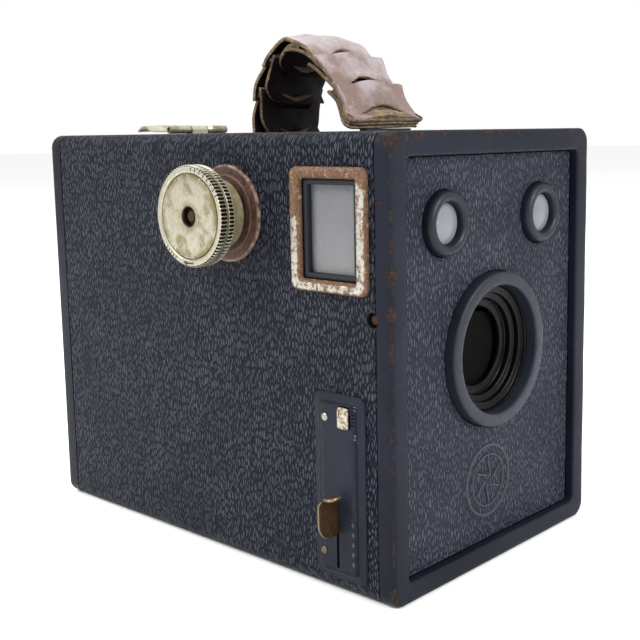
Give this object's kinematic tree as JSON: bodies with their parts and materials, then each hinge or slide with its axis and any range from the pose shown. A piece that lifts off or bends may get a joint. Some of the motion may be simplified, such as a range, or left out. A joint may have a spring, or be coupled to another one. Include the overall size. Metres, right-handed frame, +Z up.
{
  "type": "box camera",
  "caption": "Box-shaped roll-film camera with pebble-grain covering, recessed front with lens and finder windows, winding knob, side shutter lever, hinged rear cover and link strap.",
  "frame": {"origin": "centre of the bottom face that the camera stands on", "axes": "+Z up, the lens looks along -Y, +X is to the right of someone facing the lens, so the winding knob and the shutter lever are on the -X side"},
  "size_m": [0.0954, 0.1334, 0.1341],
  "materials": {
    "leatherette": "fine vertical pebble grain, satin",
    "front_enamel": "semi-gloss enamel with chips and rust",
    "black_paint": "matt black",
    "nickel": "old nickel plate, stained",
    "rusty_steel": "rust over steel",
    "bronze": "dark tarnished brass",
    "brass": "brass, dull",
    "steel": "satin steel",
    "sheet_metal": "black lacquered sheet",
    "milk_glass": "ground glass, milky",
    "clear_glass": "polished",
    "mirror": "silvered",
    "ruby": "ruby celluloid",
    "strap_leather": "polished hide, raw tan edges"
  },
  "bodies": {
    "root": {"body_shell": "sheet_metal", "body_leatherette": "leatherette", "front_frame": "front_enamel", "front_panel": "black_paint", "front_leatherette": "leatherette", "front_screw_left": "rusty_steel", "front_screw_right": "rusty_steel", "lens_bezel": "front_enamel", "lens_tunnel": "black_paint", "shutter_pivot": "steel", "shutter_base_plate": "black_paint", "lens_cell": "brass", "lens": "clear_glass", "shutter_plate_rivet_top": "brass", "shutter_plate_rivet_bottom": "brass", "shutter_plate": "front_enamel", "shutter_return_spring": "steel", "finder_bezel_left": "black_paint", "finder_lens_left": "clear_glass", "finder_bezel_right": "black_paint", "finder_lens_right": "clear_glass", "finder_housing": "black_paint", "finder_mirror_left": "mirror", "finder_mirror_right": "mirror", "side_finder_frame": "nickel", "side_finder_mask": "black_paint", "side_finder_glass": "milk_glass", "top_finder_frame": "nickel", "top_finder_glass": "milk_glass", "knob_flange": "rusty_steel", "film_cone": "black_paint", "carrier_side_left": "sheet_metal", "carrier_side_right": "sheet_metal", "rear_hinge_leaf": "steel", "rear_hinge_pin": "steel", "latch_bracket": "nickel", "latch_pin": "steel", "strap_lug_rear": "steel", "strap_lug_front": "steel", "strap_link_1": "strap_leather", "strap_link_2": "strap_leather", "strap_link_3": "strap_leather", "strap_link_4": "strap_leather", "strap_link_5": "strap_leather"},
    "rear_cover": {"rear_cover": "front_enamel", "rear_leatherette": "leatherette", "red_window": "ruby", "pressure_plate": "black_paint", "pressure_spring": "steel"},
    "latch": {"latch_tongue": "nickel"},
    "shutter_lever": {"shutter_lever": "bronze"},
    "shutter_blade": {"shutter_blade": "black_paint"},
    "time_selector": {"time_selector": "nickel"},
    "winder_pull": {"winder_washer": "steel"},
    "winder": {"winding_knob": "nickel", "winder_shaft": "rusty_steel"},
    "take_up_spool": {"take_up_spool": "black_paint"},
    "supply_spool": {"supply_spool": "black_paint"},
    "film_roller_top": {"film_roller_top": "nickel"},
    "film_roller_bottom": {"film_roller_bottom": "nickel"}
  },
  "joints": [
    {"name": "rear_cover_hinge", "type": "hinge", "parent": "root", "child": "rear_cover", "pos_m": [0, 0.0664, 0.0016], "axis": [-1, 0, 0], "range_deg": [0, 90]},
    {"name": "latch_hinge", "type": "hinge", "parent": "root", "child": "latch", "pos_m": [0, 0.048, 0.1093], "axis": [1, 0, 0], "range_deg": [0, 110]},
    {"name": "shutter_lever_slide", "type": "slide", "parent": "root", "child": "shutter_lever", "axis": [0, 0, -1], "range_m": [0, 0.008], "stiffness_N_per_m": 120, "springref_m": -0.002, "deforming": ["shutter_return_spring"]},
    {"name": "shutter_blade_pivot", "type": "hinge", "parent": "root", "child": "shutter_blade", "pos_m": [0, -0.0556, 0.033], "axis": [0, -1, 0], "range_deg": [0, 100]},
    {"name": "time_selector_slide", "type": "slide", "parent": "root", "child": "time_selector", "axis": [0, 0, -1], "range_m": [0, 0.0025]},
    {"name": "winder_pull_slide", "type": "slide", "parent": "root", "child": "winder_pull", "axis": [-1, 0, 0], "range_m": [0, 0.006]},
    {"name": "winder_spin", "type": "hinge", "parent": "winder_pull", "child": "winder", "pos_m": [0, -0.0125, 0.0884], "axis": [1, 0, 0], "continuous": true},
    {"name": "take_up_spin", "type": "hinge", "parent": "root", "child": "take_up_spool", "pos_m": [0, -0.0125, 0.0884], "axis": [1, 0, 0], "continuous": true},
    {"name": "supply_spin", "type": "hinge", "parent": "root", "child": "supply_spool", "pos_m": [0, -0.0125, 0.0196], "axis": [1, 0, 0], "continuous": true},
    {"name": "film_roller_top_spin", "type": "hinge", "parent": "root", "child": "film_roller_top", "pos_m": [0, 0.051, 0.1005], "axis": [1, 0, 0], "continuous": true},
    {"name": "film_roller_bottom_spin", "type": "hinge", "parent": "root", "child": "film_roller_bottom", "pos_m": [0, 0.051, 0.0075], "axis": [1, 0, 0], "continuous": true}
  ],
  "couplings": [
    {"joint": "shutter_blade_pivot", "follows": "shutter_lever_slide", "rad_per_m": 218.16},
    {"joint": "take_up_spin", "follows": "winder_spin", "ratio": 1}
  ]
}
